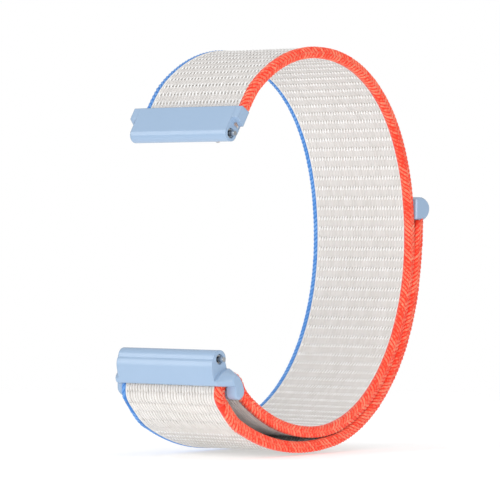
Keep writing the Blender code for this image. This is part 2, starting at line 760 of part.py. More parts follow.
def add_knob(name, place, back, parts, cutters, slide):
    """The thumb knob: a stem up from the plunger and a small bevelled head."""
    foot = Vector((knob_middle_x(), *place))
    way = Vector((0.0, *back))
    turn = Vector((0, 0, 1)).rotation_difference(way).to_matrix().to_4x4()
    stem_low = SHANK_RADIUS + SEAM_GAP / 2
    stem_high = KNOB_STANDOFF + KNOB_HEIGHT / 2
    head = bmesh.new()
    bmesh.ops.create_cone(
        head,
        cap_ends=True,
        segments=SMALL_SIDES,
        radius1=KNOB_RADIUS,
        radius2=KNOB_RADIUS,
        depth=KNOB_HEIGHT,
        matrix=Matrix.Translation(foot + way * (KNOB_STANDOFF + KNOB_HEIGHT / 2)) @ turn,
    )
    item = add_object(name, mesh_from(head, name), "steel", parts, slide)
    bevel = item.modifiers.new("rounded_head", "BEVEL")
    bevel.width = KNOB_BEVEL
    bevel.segments = 1
    bevel.limit_method = "ANGLE"
    stem = bmesh.new()
    bmesh.ops.create_cone(
        stem,
        cap_ends=True,
        segments=SMALL_SIDES,
        radius1=STEM_RADIUS,
        radius2=STEM_RADIUS,
        depth=stem_high - stem_low,
        matrix=Matrix.Translation(foot + way * (stem_low + stem_high) / 2) @ turn,
    )
    combine(item, [mesh_from(stem, "stem")], cutters, "UNION")


def add_spring(name, place, start_x, end_x, parts, carrier):
    """A coil spring as one tube, wound along X inside the bar."""
    curve = bpy.data.curves.new(name, "CURVE")
    curve.dimensions = "3D"
    curve.bevel_depth = SPRING_WIRE_RADIUS
    curve.bevel_resolution = 1
    curve.use_fill_caps = True
    count = SPRING_TURNS * COIL_POINTS
    spline = curve.splines.new("POLY")
    spline.points.add(count)
    pitch = (end_x - start_x - 2 * SPRING_WIRE_RADIUS) / SPRING_TURNS
    for number in range(count + 1):
        turn = 2 * math.pi * number / COIL_POINTS
        y = place[0] + math.cos(turn) * SPRING_COIL_RADIUS
        z = place[1] + math.sin(turn) * SPRING_COIL_RADIUS
        x = start_x + SPRING_WIRE_RADIUS + pitch * number / COIL_POINTS
        spline.points[number].co = (x, y, z, 1.0)
    print(f"{name}: the coil's least gap to itself is {(pitch - 2 * SPRING_WIRE_RADIUS) * 1000:.2f} mm")
    source = bpy.data.objects.new(f"{name}_source", curve)
    bpy.context.scene.collection.objects.link(source)
    mesh = bpy.data.meshes.new_from_object(source.evaluated_get(bpy.context.evaluated_depsgraph_get()))
    bpy.data.objects.remove(source)
    bm = bmesh.new()
    bm.from_mesh(mesh)
    add_object(name, mesh_from(bm, name), "steel", parts, carrier)


def report_places(tail_axis, lower_slide, upper_slide):
    """The joint places, as the record states them."""
    for label, place in (
        ("fold axis", tail_axis.location),
        ("lower bar axis", lower_slide.location),
        ("upper bar axis", upper_slide.location),
    ):
        print(f"{label}: {place.x:.5f} {place.y:.5f} {place.z:.5f}")


def build():
    clear_scene()
    parts = collection("hook_and_loop_watch_strap")
    cutters = collection("cutters")
    cutters.hide_render = True
    fold_place = Vector((0.0, *FOLD))
    tail_axis = add_axis("tail_axis", fold_place, parts)
    connector_axis = add_axis("connector_axis", fold_place, parts)
    upper_slide = add_axis("upper_slide", Vector((0.0, 0.0, 0.0)), parts)
    lower_slide = add_axis("lower_slide", Vector((0.0, LOWER_BARREL_Y, LOWER_BARREL_Z)), parts)
    add_band_main(parts)
    add_band_fold(parts)
    add_band_tail(parts, cutters, tail_axis)
    add_hook_patch(parts, tail_axis)
    add_end_tab(parts, cutters, tail_axis)
    add_upper_connector(parts, cutters)
    add_lower_connector(parts, cutters, connector_axis)
    add_bar("upper", (0.0, 0.0), FACE_BACK, parts, cutters, None, upper_slide)
    add_bar(
        "lower", (LOWER_BARREL_Y, LOWER_BARREL_Z), lower_back(), parts, cutters, connector_axis, lower_slide
    )
    report_places(tail_axis, lower_slide, upper_slide)


build()
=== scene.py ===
import math

import bmesh
import bpy
from mathutils import Matrix, Vector


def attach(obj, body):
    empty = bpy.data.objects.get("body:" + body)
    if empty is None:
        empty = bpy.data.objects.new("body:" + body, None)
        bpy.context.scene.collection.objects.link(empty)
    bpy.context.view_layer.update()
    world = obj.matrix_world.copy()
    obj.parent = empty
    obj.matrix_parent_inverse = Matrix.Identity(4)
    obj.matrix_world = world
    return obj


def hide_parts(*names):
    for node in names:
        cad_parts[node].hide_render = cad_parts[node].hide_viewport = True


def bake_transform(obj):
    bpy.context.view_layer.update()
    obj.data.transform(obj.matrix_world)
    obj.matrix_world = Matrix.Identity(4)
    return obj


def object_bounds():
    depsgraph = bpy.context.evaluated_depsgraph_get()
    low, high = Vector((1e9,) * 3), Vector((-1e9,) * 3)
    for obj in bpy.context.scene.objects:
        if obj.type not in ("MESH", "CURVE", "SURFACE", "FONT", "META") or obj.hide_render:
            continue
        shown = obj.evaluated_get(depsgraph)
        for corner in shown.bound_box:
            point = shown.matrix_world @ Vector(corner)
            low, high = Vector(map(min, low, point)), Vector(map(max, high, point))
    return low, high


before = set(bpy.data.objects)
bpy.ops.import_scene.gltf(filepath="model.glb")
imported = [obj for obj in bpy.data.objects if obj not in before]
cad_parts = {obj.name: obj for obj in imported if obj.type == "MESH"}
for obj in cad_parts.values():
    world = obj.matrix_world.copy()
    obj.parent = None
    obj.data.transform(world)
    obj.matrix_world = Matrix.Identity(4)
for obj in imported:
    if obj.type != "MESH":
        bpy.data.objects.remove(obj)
cadLow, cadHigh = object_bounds()
print("frame loaded")


# Helpers

def srgb(code):
    # Linear colour from an sRGB hex code
    parts = [int(code[place:place + 2], 16) / 255 for place in (1, 3, 5)]
    return tuple(p / 12.92 if p <= 0.04045 else ((p + 0.055) / 1.055) ** 2.4 for p in parts) + (1.0,)


def addNode(tree, kind, settings=None, inputs=None):
    # A node with its settings and its inputs, where an input is a value or another node's socket
    node = tree.nodes.new(kind)
    for name, value in (settings or {}).items():
        setattr(node, name, value)
    for name, value in (inputs or {}).items():
        socket = node.inputs[name]
        if isinstance(value, bpy.types.NodeSocket):
            tree.links.new(value, socket)
        else:
            socket.default_value = value
    return node


def newMaterial(name):
    material = bpy.data.materials.new(name)
    material.use_nodes = True
    tree = material.node_tree
    return material, tree, tree.nodes["Principled BSDF"]


def meshObject(name, bm, material, smooth=True):
    bmesh.ops.recalc_face_normals(bm, faces=bm.faces)
    for face in bm.faces:
        face.smooth = smooth
    mesh = bpy.data.meshes.new(name)
    bm.to_mesh(mesh)
    bm.free()
    if material is not None:
        mesh.materials.append(material)
    item = bpy.data.objects.new(name, mesh)
    bpy.context.scene.collection.objects.link(item)
    return item


# The band's side view, in the Y-Z plane: the same paths as the CAD model's

band = {
    "halfWidth": 0.01075,
    "halfThickness": 0.00095,
    "fabricHalf": 0.00085,
    "bindingHalf": 0.0010,
    "edgeWidth": 0.0011,
    "edgeRounding": 0.00045,
    "roundingSteps": 4,
    "seamGap": 0.0001,
    "pieceGap": 0.0003,
}
loop = {
    "centre": Vector((0.02257, -0.01751)),
    "topReach": 0.0315,
    "bottomReach": 0.03225,
    "backReach": 0.0257,
    "frontTopReach": 0.0270,
    "frontBottomReach": 0.0305,
    "backTopPower": 2.2,
    "frontBottomPower": 2.06,
    "plainPower": 2.0,
    "mainStart": math.radians(125),
    "mainEnd": math.radians(-125),
}
tail = {
    "layerPitch": 0.0021,
    "end": math.radians(7.9),
    "leaves": math.radians(-85),
    "drop": 0.0025,
    "dropPower": 1.3,
    "tipLift": 0.0006,
    "tipLiftFrom": math.radians(-12),
    "tipLiftSpan": math.radians(18),
    "tabFoot": 0.0021,
}
fold = {
    "centre": Vector((0.0, -0.04235)),
    "radius": 0.0025,
    "start": math.radians(25),
    "end": math.radians(222),
}
upper = {
    "lean": math.radians(33),
    "barrelRadius": 0.00135,
    "faceLength": 0.0045,
    "frontWall": 0.0012,
    "socketDepth": 0.0026,
    "socketClearance": 0.00006,
}
nearbyAngle = math.radians(0.5)
bendPull = 0.9
pathSteps = {"sweep": 240, "bend": 24}
stripSteps = {"main": 0.0018, "fold": 0.0009, "tail": 0.0018}
edgeSteps = {"main": 0.0018, "fold": 0.0006, "tail": 0.0018}


def ovalPoint(angle):
    across, up = math.cos(angle), math.sin(angle)
    power = loop["plainPower"]
    if across > 0 and up > 0:
        power = loop["backTopPower"]
    if across < 0 and up < 0:
        power = loop["frontBottomPower"]
    front = loop["frontTopReach"] if up > 0 else loop["frontBottomReach"]
    reachY = loop["backReach"] if across > 0 else front
    reachZ = loop["topReach"] if up > 0 else loop["bottomReach"]
    y = math.copysign(abs(across) ** (2 / power), across) * reachY
    z = math.copysign(abs(up) ** (2 / power), up) * reachZ
    return loop["centre"] + Vector((y, z))


def tailPoint(angle):
    offset = tail["layerPitch"]
    if angle < tail["leaves"]:
        share = (tail["leaves"] - angle) / (tail["leaves"] - loop["mainEnd"])
        offset += tail["drop"] * share ** tail["dropPower"]
    if angle > tail["tipLiftFrom"]:
        offset += tail["tipLift"] * ((angle - tail["tipLiftFrom"]) / tail["tipLiftSpan"]) ** 2
    run = ovalPoint(angle - nearbyAngle) - ovalPoint(angle + nearbyAngle)
    return ovalPoint(angle) + Vector((-run.y, run.x)).normalized() * offset


def circlePoint(angle):
    return fold["centre"] + Vector((math.cos(angle), math.sin(angle))) * fold["radius"]


def circleHeading(angle):
    return Vector((-math.sin(angle), math.cos(angle)))


def headingAt(function, angle, turn):
    return (function(angle + turn * nearbyAngle) - function(angle)).normalized()


def sweep(function, start, end):
    count = pathSteps["sweep"]
    return [function(start + (end - start) * number / count) for number in range(count + 1)]


def bend(start, startHeading, end, endHeading):
    count = pathSteps["bend"]
    pull = (end - start).length * bendPull
    points = []
    for number in range(count + 1):
        t = number / count
        points.append(
            start * (2 * t ** 3 - 3 * t ** 2 + 1)
            + startHeading * (pull * (t ** 3 - 2 * t ** 2 + t))
            + end * (3 * t ** 2 - 2 * t ** 3)
            + endHeading * (pull * (t ** 3 - t ** 2))
        )
    return points


def upperPoint(up, back):
    lean = upper["lean"]
    along = Vector((math.sin(lean), math.cos(lean)))
    inward = Vector((math.cos(lean), -math.sin(lean)))
    return along * up + inward * (back - upper["barrelRadius"])


def mainPoints():
    lean = upper["lean"]
    depth = upper["frontWall"] + upper["socketClearance"] + band["halfThickness"]
    points = [upperPoint(upper["faceLength"] - upper["socketDepth"], depth)]
    mouth = upperPoint(upper["faceLength"], depth)
    up = Vector((math.sin(lean), math.cos(lean)))
    start, end = loop["mainStart"], loop["mainEnd"]
    points += bend(mouth, up, ovalPoint(start), headingAt(ovalPoint, start, -1))
    points += sweep(ovalPoint, start, end)[1:]
    gap = band["pieceGap"] / fold["radius"]
    arrives = circlePoint(fold["start"] - gap)
    points += bend(ovalPoint(end), headingAt(ovalPoint, end, -1), arrives, circleHeading(fold["start"]))[1:]
    points.append(circlePoint(fold["start"]))
    return points


def tailPoints():
    gap = band["pieceGap"] / fold["radius"]
    joins = tailPoint(loop["mainEnd"])
    heading = headingAt(tailPoint, loop["mainEnd"], 1)
    points = [circlePoint(fold["end"])]
    points += bend(circlePoint(fold["end"] + gap), circleHeading(fold["end"]), joins, heading)
    return points + sweep(tailPoint, loop["mainEnd"], tail["end"])[1:]


class Run:
    # A path by its length: where it is, which way it runs,
    # and its side that faces away from the wrist on the loop
    def __init__(self, points):
        self.points = points
        self.lengths = [0.0]
        for before, after in zip(points, points[1:]):
            self.lengths.append(self.lengths[-1] + (after - before).length)
        self.length = self.lengths[-1]

    def at(self, along):
        low, high = 0, len(self.points) - 2
        while low < high:
            middle = (low + high + 1) // 2
            if self.lengths[middle] <= along:
                low = middle
            else:
                high = middle - 1
        span = self.lengths[low + 1] - self.lengths[low]
        share = (along - self.lengths[low]) / span
        place = self.points[low].lerp(self.points[low + 1], share)
        before = self.points[max(low - 1, 0)]
        after = self.points[min(low + 2, len(self.points) - 1)]
        heading = (after - before).normalized()
        return place, heading, Vector((-heading.y, heading.x))

    def station(self, along, x, out):
        place, heading, side = self.at(along)
        return Vector((x, *(place + side * out)))


runs = {
    "main": Run(mainPoints()),
    "fold": Run(sweep(circlePoint, fold["start"], fold["end"])),
    "tail": Run(tailPoints()),
}
bodies = {"main": "strap", "fold": "strap", "tail": "tail"}
for name, run in runs.items():
    print(f"{name} run {run.length * 1000:.1f} mm")


def placeOn(item, name):
    # Ride on the run's body, or, for the fold, stay put with the transform baked into the mesh
    if name == "fold":
        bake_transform(item)
    else:
        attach(item, bodies[name])


def sweptStrip(bm, run, section, step, start=0.0, end=None):
    # A closed solid with one section along part of a run
    end = run.length if end is None else end
    count = max(3, round((end - start) / step))
    rings = []
    for number in range(count + 1):
        along = start + (end - start) * number / count
        rings.append([bm.verts.new(run.station(along, x, out)) for x, out in section])
    for before, after in zip(rings, rings[1:]):
        for place in range(len(section)):
            following = (place + 1) % len(section)
            bm.faces.new((before[place], before[following], after[following], after[place]))
    bm.faces.new(rings[0])
    bm.faces.new(rings[-1])


# Materials

def wovenNylon(name, values):
    # Spun nylon: a dull filament yarn with fine lines along it, a little different in shade from yarn to yarn
    material, tree, shader = newMaterial(name)
    shade = addNode(tree, "ShaderNodeAttribute", {"attribute_name": "yarnShade"})
    across = addNode(tree, "ShaderNodeAttribute", {"attribute_name": "yarnAcross"})
    place = addNode(tree, "ShaderNodeTexCoord")
    cloud = addNode(
        tree, "ShaderNodeTexNoise", None,
        {"Vector": place.outputs["Object"], "Scale": values["cloudScale"], "Detail": values["cloudDetail"]},
    )
    centred = addNode(
        tree, "ShaderNodeMath", {"operation": "SUBTRACT"}, {0: cloud.outputs["Fac"], 1: 0.5}
    )
    mixer = addNode(
        tree, "ShaderNodeMath", {"operation": "MULTIPLY_ADD"},
        {0: centred.outputs[0], 1: values["cloudShare"], 2: shade.outputs["Fac"]},
    )
    colour = addNode(
        tree, "ShaderNodeMix", {"data_type": "RGBA"},
        {"Factor": mixer.outputs[0], 6: srgb(values["dark"]), 7: srgb(values["light"])},
    )
    tree.links.new(colour.outputs[2], shader.inputs["Base Color"])
    fibres = addNode(
        tree, "ShaderNodeMath", {"operation": "MULTIPLY"},
        {0: across.outputs["Fac"], 1: values["filaments"]},
    )
    ridges = addNode(tree, "ShaderNodeMath", {"operation": "SINE"}, {0: fibres.outputs[0]})
    bump = addNode(
        tree, "ShaderNodeBump", None,
        {"Height": ridges.outputs[0], "Strength": values["bump"], "Distance": values["bumpDepth"]},
    )
    tree.links.new(bump.outputs["Normal"], shader.inputs["Normal"])
    shader.inputs["Roughness"].default_value = values["roughness"]
    shader.inputs["Sheen Weight"].default_value = values["sheen"]
    shader.inputs["Sheen Roughness"].default_value = values["sheenRoughness"]
    shader.inputs["Specular IOR Level"].default_value = values["specular"]
    return material


whiteYarnLook = {
    "light": "#F3F0ED",
    "dark": "#E5E1DD",
    "cloudScale": 900.0,  # clouds of about 1.1 mm
    "cloudDetail": 2.0,
    "cloudShare": 0.35,
    "filaments": 16.0,
    "bump": 0.25,
    "bumpDepth": 0.00003,
    "roughness": 0.72,
    "sheen": 0.15,
    "sheenRoughness": 0.5,
    "specular": 0.35,
}
# Painted shade: the ground under the floats is a greyer copy of the yarn, so the gaps between the floats read
# dark
groundShadeLook = dict(whiteYarnLook, light="#D6D0CA", dark="#CAC4BD", bump=0.0)
# Painted shade: the flat floats take a greyer copy of the yarn for the shaded front of each rib
flatShadeLook = dict(whiteYarnLook, light="#E2DEDB", dark="#D6D2CE")
# Painted highlight: the strokes take a white copy of the yarn for the lit tops of the ribs
strokeHighlightLook = dict(whiteYarnLook, light="#FFFFFF", dark="#F4F2EF")
selvedgeLook = dict(whiteYarnLook, light="#F4F2F0", dark="#E9E6E2")
# Random tone from yarn to yarn, partly painted highlight: the light end and the light spots stand in for
# glints on the strands' crowns in place of relief
coralToneAndHighlightLook = dict(
    whiteYarnLook, light="#FF9A78", dark="#FF3C18",
    cloudScale=2600.0,  # light spots of about 0.4 mm, painted highlights on the strands
    cloudShare=2.4, roughness=0.62, specular=0.4,
)
coralCoreLook = dict(coralToneAndHighlightLook, light="#FF4A24", dark="#FF3212", bump=0.0)
blueLook = dict(whiteYarnLook, light="#80B2EC", dark="#4C90DE", roughness=0.62, specular=0.4)
blueCoreLook = dict(blueLook, light="#478AD8", dark="#3C80CE", bump=0.0)
whiteYarn = wovenNylon("offWhiteNylonYarn", whiteYarnLook)
shadedGround = wovenNylon("offWhiteNylonGround", groundShadeLook)
flatShadedYarn = wovenNylon("offWhiteNylonBand", flatShadeLook)
strokeHighlightYarn = wovenNylon("brightNylonStroke", strokeHighlightLook)
selvedgeYarn = wovenNylon("paleSelvedgeYarn", selvedgeLook)
edgeMaterials = {
    "coral": (wovenNylon("coralBraidedNylon", coralToneAndHighlightLook), wovenNylon("coralBraidCore", coralCoreLook)),
    "blue": (wovenNylon("blueBraidedNylon", blueLook), wovenNylon("blueBraidCore", blueCoreLook)),
}
print("fabric materials made")


# One Geometry Nodes tree puts a yarn at every seat

shadeRange = {"lowest": 0.15, "highest": 0.75}


def yarnTree():
    tree = bpy.data.node_groups.new("yarnsOnSeats", "GeometryNodeTree")
    face = tree.interface
    face.new_socket("Geometry", in_out="INPUT", socket_type="NodeSocketGeometry")
    face.new_socket("Yarn", in_out="INPUT", socket_type="NodeSocketObject")
    face.new_socket("Material", in_out="INPUT", socket_type="NodeSocketMaterial")
    for name in ("Lean Jitter", "Size Jitter"):
        face.new_socket(name, in_out="INPUT", socket_type="NodeSocketFloat")
    face.new_socket("Seed", in_out="INPUT", socket_type="NodeSocketInt")
    face.new_socket("Geometry", in_out="OUTPUT", socket_type="NodeSocketGeometry")
    source = addNode(tree, "NodeGroupInput").outputs
    points = addNode(tree, "GeometryNodeMeshToPoints", None, {"Mesh": source["Geometry"]})
    yarn = addNode(tree, "GeometryNodeObjectInfo", None, {"Object": source["Yarn"]})
    out = addNode(
        tree, "GeometryNodeInputNamedAttribute", {"data_type": "FLOAT_VECTOR"}, {"Name": "seatOut"}
    )
    heading = addNode(
        tree, "GeometryNodeInputNamedAttribute", {"data_type": "FLOAT_VECTOR"}, {"Name": "seatHeading"}
    )
    facing = addNode(
        tree, "FunctionNodeAxesToRotation", {"primary_axis": "Z", "secondary_axis": "Y"},
        {"Primary Axis": out.outputs["Attribute"], "Secondary Axis": heading.outputs["Attribute"]},
    )
    lowest = addNode(
        tree, "ShaderNodeMath", {"operation": "MULTIPLY"}, {0: source["Lean Jitter"], 1: -1.0}
    )
    lean = addNode(
        tree, "FunctionNodeRandomValue", {"data_type": "FLOAT"},
        {2: lowest.outputs[0], 3: source["Lean Jitter"], "Seed": source["Seed"]},
    )
    leanVector = addNode(tree, "ShaderNodeCombineXYZ", None, {"Z": lean.outputs[1]})
    leanTurn = addNode(tree, "FunctionNodeEulerToRotation", None, {"Euler": leanVector.outputs[0]})
    turned = addNode(
        tree, "FunctionNodeRotateRotation", {"rotation_space": "LOCAL"},
        {"Rotation": facing.outputs[0], "Rotate By": leanTurn.outputs[0]},
    )
    smallest = addNode(
        tree, "ShaderNodeMath", {"operation": "SUBTRACT"}, {0: 1.0, 1: source["Size Jitter"]}
    )
    height = addNode(
        tree, "FunctionNodeRandomValue", {"data_type": "FLOAT"},
        {2: smallest.outputs[0], 3: 1.0, "Seed": source["Seed"]},
    )
    stretch = addNode(
        tree, "GeometryNodeInputNamedAttribute", {"data_type": "FLOAT"}, {"Name": "seatStretch"}
    )
    size = addNode(
        tree, "ShaderNodeCombineXYZ", None,
        {"X": 1.0, "Y": stretch.outputs["Attribute"], "Z": height.outputs[1]},
    )
    placed = addNode(
        tree, "GeometryNodeInstanceOnPoints", None,
        {
            "Points": points.outputs[0],
            "Instance": yarn.outputs["Geometry"],
            "Rotation": turned.outputs[0],
            "Scale": size.outputs[0],
        },
    )
    shade = addNode(
        tree, "FunctionNodeRandomValue", {"data_type": "FLOAT"},
        {2: shadeRange["lowest"], 3: shadeRange["highest"], "Seed": source["Seed"]},
    )
    kept = addNode(
        tree, "GeometryNodeStoreNamedAttribute", {"data_type": "FLOAT", "domain": "INSTANCE"},
        {"Geometry": placed.outputs[0], "Name": "yarnShade", "Value": shade.outputs[1]},
    )
    real = addNode(tree, "GeometryNodeRealizeInstances", None, {"Geometry": kept.outputs[0]})
    painted = addNode(
        tree, "GeometryNodeSetMaterial", None,
        {"Geometry": real.outputs[0], "Material": source["Material"]},
    )
    addNode(tree, "NodeGroupOutput", None, {"Geometry": painted.outputs[0]})
    return tree


yarns = yarnTree()
yarnTurns = (0.0, 45.0, 90.0, 135.0, 180.0)


def scatterYarns(name, seats, yarn, material, leanJitter=0.0, sizeJitter=0.0, seed=1):
    # Bake the tree's result into one mesh
    mesh = bpy.data.meshes.new(name + "Seats")
    mesh.from_pydata([seat[0] for seat in seats], [], [])
    for label, column in (("seatOut", 1), ("seatHeading", 2)):
        attribute = mesh.attributes.new(label, "FLOAT_VECTOR", "POINT")
        attribute.data.foreach_set("vector", [value for seat in seats for value in seat[column]])
    attribute = mesh.attributes.new("seatStretch", "FLOAT", "POINT")
    attribute.data.foreach_set("value", [seat[3] for seat in seats])
    source = bpy.data.objects.new(name + "Seats", mesh)
    bpy.context.scene.collection.objects.link(source)
    step = source.modifiers.new("yarns", "NODES")
    step.node_group = yarns
    values = {
        "Yarn": yarn,
        "Material": material,
        "Lean Jitter": leanJitter,
        "Size Jitter": sizeJitter,
        "Seed": seed,
    }
    for socket in yarns.interface.items_tree:
        if socket.name in values:
            step[socket.identifier] = values[socket.name]
    bpy.context.view_layer.update()
    graph = bpy.context.evaluated_depsgraph_get()
    baked = bpy.data.meshes.new_from_object(source.evaluated_get(graph))
    baked.name = name
    bpy.data.objects.remove(source)
    item = bpy.data.objects.new(name, baked)
    bpy.context.scene.collection.objects.link(item)
    return item


unitYarns = []


def yarnMesh(stations):
    # A yarn through stations of centre, half width and height: it lies on its base, along Y, and Z is out
    bm = bmesh.new()
    layer = bm.verts.layers.float.new("yarnAcross")
    rings = []
    for centre, sideways, normal, halfWidth, height, sink in stations:
        ring = []
        for turn in yarnTurns:
            angle = math.radians(turn)
            share = math.cos(angle)
            place = centre + sideways * (share * halfWidth) + normal * (math.sin(angle) * height - sink)
            vertex = bm.verts.new(place)
            vertex[layer] = share
            ring.append(vertex)
        rings.append(ring)
    for before, after in zip(rings, rings[1:]):
        for place in range(len(before)):
            following = (place + 1) % len(before)
            bm.faces.new((before[place], before[following], after[following], after[place]))
    bm.faces.new(rings[0])
    bm.faces.new(rings[-1])
    return bm


def finishYarn(name, bm, bendRadius=None):
    if bendRadius is not None:
        for vertex in bm.verts:
            x, y, z = vertex.co
            angle = y / bendRadius
            reach = bendRadius - z
            vertex.co = (x, reach * math.sin(angle), bendRadius - reach * math.cos(angle))
    item = meshObject(name, bm, None)
    unitYarns.append(item)
    return item


# Woven faces of the band: flat rows in a greyer copy of the yarn, painted shade, with a line of short strokes
# in a white copy, painted highlight, where they meet, and long streaks by the fold and under the tail, where
# their brighter yarn also paints light into the shaded gap

weave = {
    "rowPitch": 0.0018,
    "groundHalf": 0.00058,
    "streakReach": 0.0078,
    "coveredReach": 0.0220,
    "sink": 0.00004,
    "sway": 0.00004,
    "swayPerRow": 2.4,
    "swayPerColumn": 5.1,
    "tailInnerShare": 0.52,
    "seed": 3,
}
# Each kind's stations: share of the length, share of the slant, width share, height share
floatKinds = {
    "flat": {
        "length": 0.00179, "halfWidth": 0.00039, "height": 0.00022, "level": 0.0, "slant": -0.00003,
        "rowShare": 0.5, "columns": 32, "leanJitter": math.radians(0.8), "heightJitter": 0.05,
        "stations": (
            (-0.50, -1.0, 0.92, 0.30),
            (-0.40, -0.8, 1.00, 0.82),
            (-0.20, -0.4, 1.00, 1.00),
            (0.20, 0.4, 1.00, 0.96),
            (0.40, 0.8, 1.00, 0.78),
            (0.50, 1.0, 0.92, 0.30),
        ),
    },
    "stroke": {
        "length": 0.00084, "halfWidth": 0.00017, "height": 0.00022, "level": 0.00014, "slant": -0.00012,
        "rowShare": 0.10, "columns": 32, "leanJitter": math.radians(7), "heightJitter": 0.25,
        "stations": (
            (-0.50, -1.0, 0.40, 0.15),
            (-0.30, -0.6, 0.85, 0.80),
            (0.00, 0.0, 1.00, 1.00),
            (0.30, 0.6, 0.85, 0.80),
            (0.50, 1.0, 0.40, 0.15),
        ),
    },
    "outerFlat": {
        "length": 0.00160, "halfWidth": 0.00042, "height": 0.00022, "level": 0.0, "slant": -0.00003,
        "rowShare": 0.62, "columns": 26, "leanJitter": math.radians(0.8), "heightJitter": 0.05,
        "stations": (
            (-0.50, -1.0, 0.80, 0.20),
            (-0.36, -0.8, 0.96, 0.84),
            (-0.16, -0.4, 1.00, 1.00),
            (0.20, 0.4, 1.00, 0.96),
            (0.40, 0.8, 1.00, 0.84),
            (0.50, 1.0, 0.84, 0.30),
        ),
    },
    "outerStroke": {
        "length": 0.00106, "halfWidth": 0.00019, "height": 0.00022, "level": 0.00012, "slant": -0.00012,
        "rowShare": 0.12, "columns": 26, "leanJitter": math.radians(6), "heightJitter": 0.25,
        "stations": (
            (-0.50, -1.0, 0.40, 0.12),
            (-0.30, -0.6, 0.85, 0.80),
            (0.00, 0.0, 1.00, 1.00),
            (0.30, 0.6, 0.85, 0.80),
            (0.50, 1.0, 0.40, 0.12),
        ),
    },
    "streak": {
        "length": 0.00218, "halfWidth": 0.00026, "height": 0.00029, "level": 0.0, "slant": 0.00008,
        "rowShare": 0.5, "columns": 32, "leanJitter": math.radians(2.5), "heightJitter": 0.14,
        "stations": (
            (-0.50, -1.0, 0.80, 0.72),
            (-0.25, 0.2, 1.00, 1.00),
            (0.00, 0.6, 1.00, 0.94),
            (0.25, 0.2, 1.00, 0.88),
            (0.50, -1.0, 0.80, 0.72),
        ),
    },
}
# Flats take the painted-shade copy of the yarn, strokes the painted-highlight copy
yarnOfKind = {
    "flat": flatShadedYarn,
    "stroke": strokeHighlightYarn,
    "outerFlat": flatShadedYarn,
    "outerStroke": strokeHighlightYarn,
    "streak": whiteYarn,
}


fabricHalf = band["halfWidth"] - band["edgeWidth"] - band["seamGap"]


def floatYarn(name, kind, face, bendRadius=None):
    # On the second face the slant turns round, so that both faces read alike from in front
    values = floatKinds[kind]
    stations = []
    for along, sideways, width, height in values["stations"]:
        centre = Vector((sideways * values["slant"], along * values["length"] * face, 0.0))
        stations.append((
            centre, Vector((1, 0, 0)), Vector((0, 0, 1)),
            width * values["halfWidth"], height * values["height"], weave["sink"],
        ))
    return finishYarn(name, yarnMesh(stations), bendRadius)


def weaveSeats(run, face, start, end, kind, bent):
    # A seat for each float, stretched as the face is where the run bends, unless the yarn is bent itself
    values = floatKinds[kind]
    rows = max(1, round((end - start) / weave["rowPitch"]))
    pitch = (end - start) / rows
    level = (weave["groundHalf"] + values["level"]) * face
    seats = []
    for row in range(rows):
        along = start + pitch * (row + values["rowShare"])
        place, heading, side = run.at(along)
        top = level + values["height"] * face
        before = run.station(along - pitch / 2, 0.0, top)
        after = run.station(along + pitch / 2, 0.0, top)
        stretch = 1.0 if bent else (after - before).length / pitch
        for column in range(values["columns"]):
            x = -fabricHalf + 2 * fabricHalf * (column + 0.5) / values["columns"]
            x += weave["sway"] * math.sin(row * weave["swayPerRow"] + column * weave["swayPerColumn"])
            seats.append(((x, *(place + side * level)), (0.0, *(side * face)), (0.0, *heading), stretch))
    return seats


def groundSection(halfWidth, half):
    return [(-halfWidth, -half), (halfWidth, -half), (halfWidth, half), (-halfWidth, half)]


nodeOfRun = {"main": "band_main", "fold": "band_fold", "tail": "band_tail"}
floats = {
    (kind, face): floatYarn(f"{kind}Float{face}", kind, face)
    for kind in floatKinds
    for face in ((1,) if kind.startswith("outer") else (1, -1))
}
foldFloats = {
    face: floatYarn(f"foldFloat{face}", "streak", face, face * fold["radius"] - weave["groundHalf"])
    for face in (1, -1)
}
for name, run in runs.items():
    bm = bmesh.new()
    sweptStrip(
        bm, run, groundSection(fabricHalf + band["seamGap"], weave["groundHalf"]), stripSteps[name],
    )
    ground = meshObject(name + "Ground", bm, shadedGround, smooth=False)
    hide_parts(nodeOfRun[name])
    placeOn(ground, name)
    for face, label in ((1, "Away"), (-1, "Towards")):
        start = upper["socketDepth"] if name == "main" else 0.0
        end = run.length - (tail["tabFoot"] if name == "tail" else 0.0)
        if name == "tail" and face == 1:
            end = run.length * weave["tailInnerShare"]
        streaked = {"main": start, "fold": end, "tail": weave["streakReach"]}[name]
        spans = (("streak", start, streaked), ("flat", streaked, end), ("stroke", streaked, end))
        if name == "main" and face == 1:
            # Painted light: under the tail the brighter streak yarn takes the flats' place, to lift the shade
            # in the gap between tail and band
            covered = end - weave["coveredReach"]
            spans = (
                ("outerFlat", start, covered),
                ("outerStroke", start, covered),
                ("streak", covered, end),
            )
        for kind, spanStart, spanEnd in spans:
            if spanEnd <= spanStart:
                continue
            yarn = foldFloats[face] if name == "fold" else floats[kind, face]
            seats = weaveSeats(run, face, spanStart, spanEnd, kind, name == "fold")
            woven = scatterYarns(
                f"{name}{kind[0].upper()}{kind[1:]}{label}", seats, yarn, yarnOfKind[kind],
                floatKinds[kind]["leanJitter"], floatKinds[kind]["heightJitter"], weave["seed"],
            )
            placeOn(woven, name)
            print(f"{woven.name}: {len(seats)} floats, {len(woven.data.polygons)} faces")


# Braided edges: a core with V-shaped strands round it

